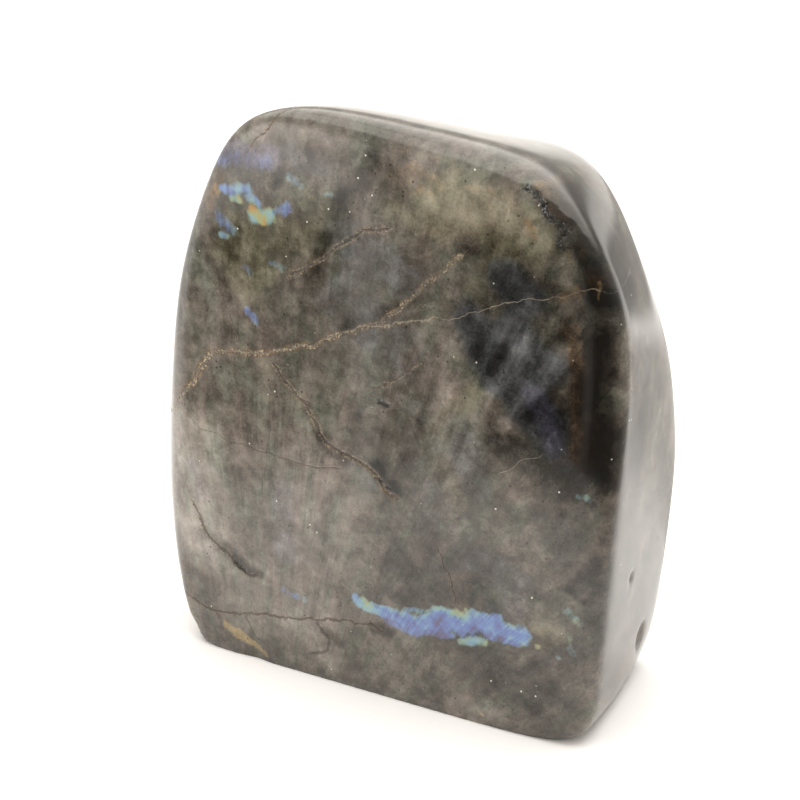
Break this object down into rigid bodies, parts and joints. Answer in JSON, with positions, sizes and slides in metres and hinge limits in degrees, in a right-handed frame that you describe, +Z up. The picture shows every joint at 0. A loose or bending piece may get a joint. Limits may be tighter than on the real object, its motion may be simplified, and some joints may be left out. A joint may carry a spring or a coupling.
{
  "type": "polished labradorite freeform stone",
  "caption": "Free-standing polished stone slab with a flat sawn base, softly rounded edges, an upright front face and a sloping upper right corner.",
  "frame": {"origin": "centre of the stone's footprint box, on the flat sawn base that it stands on", "axes": "+Z up along the stone's height, -Y towards the viewer out of the broad front face, +X to the right of the front face"},
  "size_m": [0.1226, 0.0582, 0.1325],
  "materials": {
    "polished_labradorite": "polished"
  },
  "bodies": {
    "root": {"labradorite_stone": "polished_labradorite"}
  },
  "joints": []
}
